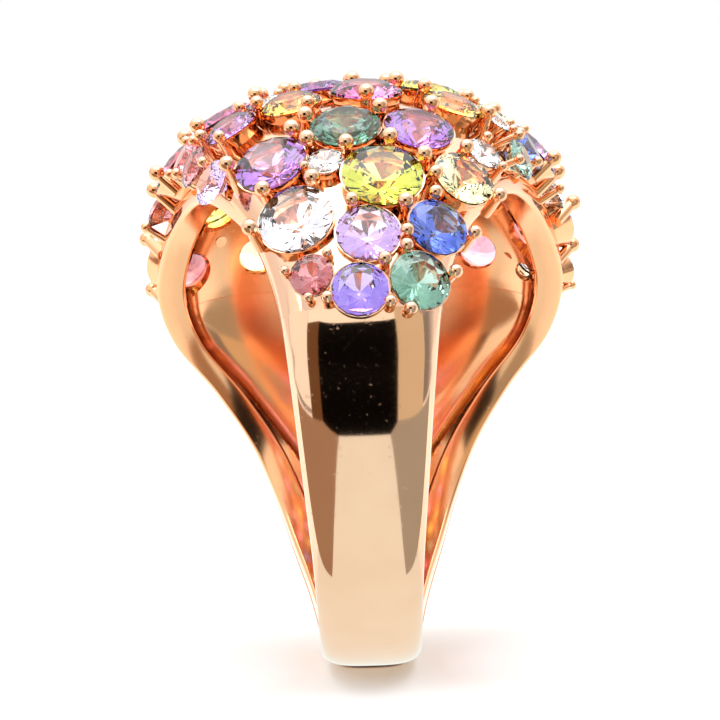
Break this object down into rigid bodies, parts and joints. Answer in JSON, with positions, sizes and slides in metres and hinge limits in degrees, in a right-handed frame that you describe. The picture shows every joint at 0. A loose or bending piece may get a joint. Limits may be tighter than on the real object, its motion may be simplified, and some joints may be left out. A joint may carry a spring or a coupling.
{
  "type": "cocktail ring",
  "caption": "Domed finger ring: tapering polished shank, pierced dome head on two finger rims, round stones in ball claws.",
  "frame": {"origin": "centre of the finger hole, half way along the finger", "axes": "+X along the finger, +Z from the finger up through the dome, -Y towards the slender shoulder"},
  "size_m": [0.0185, 0.0218, 0.0238],
  "materials": {
    "shank_gold": "high polish rose gold with fine wear scratches",
    "dome_gold": "polished rose gold",
    "rim_gold": "high polish rose gold",
    "claw_gold": "high polish rose gold",
    "gem_violet": "faceted and polished",
    "gem_red": "faceted and polished",
    "gem_teal": "faceted and polished",
    "gem_white": "faceted and polished",
    "gem_lilac": "faceted and polished",
    "gem_blue": "faceted and polished",
    "gem_purple": "faceted and polished",
    "gem_lime": "faceted and polished",
    "gem_straw": "faceted and polished",
    "gem_magenta": "faceted and polished",
    "gem_gold": "faceted and polished",
    "gem_pink": "faceted and polished",
    "gem_olive": "faceted and polished",
    "gem_accent": "faceted and polished"
  },
  "bodies": {
    "root": {"shank": "shank_gold", "head_dome": "dome_gold", "finger_rim_left": "rim_gold", "finger_rim_right": "rim_gold", "claws_front": "claw_gold", "claws_crown": "claw_gold", "claws_back": "claw_gold", "stone_tip_violet": "gem_violet", "stone_tip_red": "gem_red", "stone_tip_teal": "gem_teal", "stone_front_white": "gem_white", "stone_front_lilac": "gem_lilac", "stone_front_blue": "gem_blue", "stone_front_purple": "gem_purple", "stone_front_lime": "gem_lime", "stone_front_straw": "gem_straw", "stone_top_teal": "gem_teal", "stone_top_purple": "gem_purple", "stone_top_magenta": "gem_magenta", "stone_top_gold_left": "gem_gold", "stone_top_gold_right": "gem_gold", "stone_top_mauve": "gem_purple", "stone_edge_lilac": "gem_lilac", "stone_edge_red": "gem_red", "stone_edge_teal": "gem_teal", "stone_back_red_01": "gem_red", "stone_back_straw_02": "gem_straw", "stone_back_blue_03": "gem_blue", "stone_back_pink_04": "gem_pink", "stone_back_teal_05": "gem_teal", "stone_back_lilac_06": "gem_lilac", "stone_back_olive_07": "gem_olive", "stone_back_gold_08": "gem_gold", "stone_back_magenta_09": "gem_magenta", "stone_back_lime_10": "gem_lime", "stone_back_purple_11": "gem_purple", "stone_back_red_12": "gem_red", "stone_back_straw_13": "gem_straw", "stone_back_blue_14": "gem_blue", "stone_crown_pink_15": "gem_pink", "stone_crown_teal_16": "gem_teal", "stone_crown_lilac_17": "gem_lilac", "stone_crown_olive_18": "gem_olive", "stone_crown_gold_19": "gem_gold", "stone_crown_magenta_20": "gem_magenta", "stone_crown_lime_21": "gem_lime", "stone_crown_purple_22": "gem_purple", "stone_back_red_23": "gem_red", "stone_crown_straw_24": "gem_straw", "stone_crown_blue_25": "gem_blue", "stone_crown_pink_26": "gem_pink", "stones_accent": "gem_accent"}
  },
  "joints": []
}
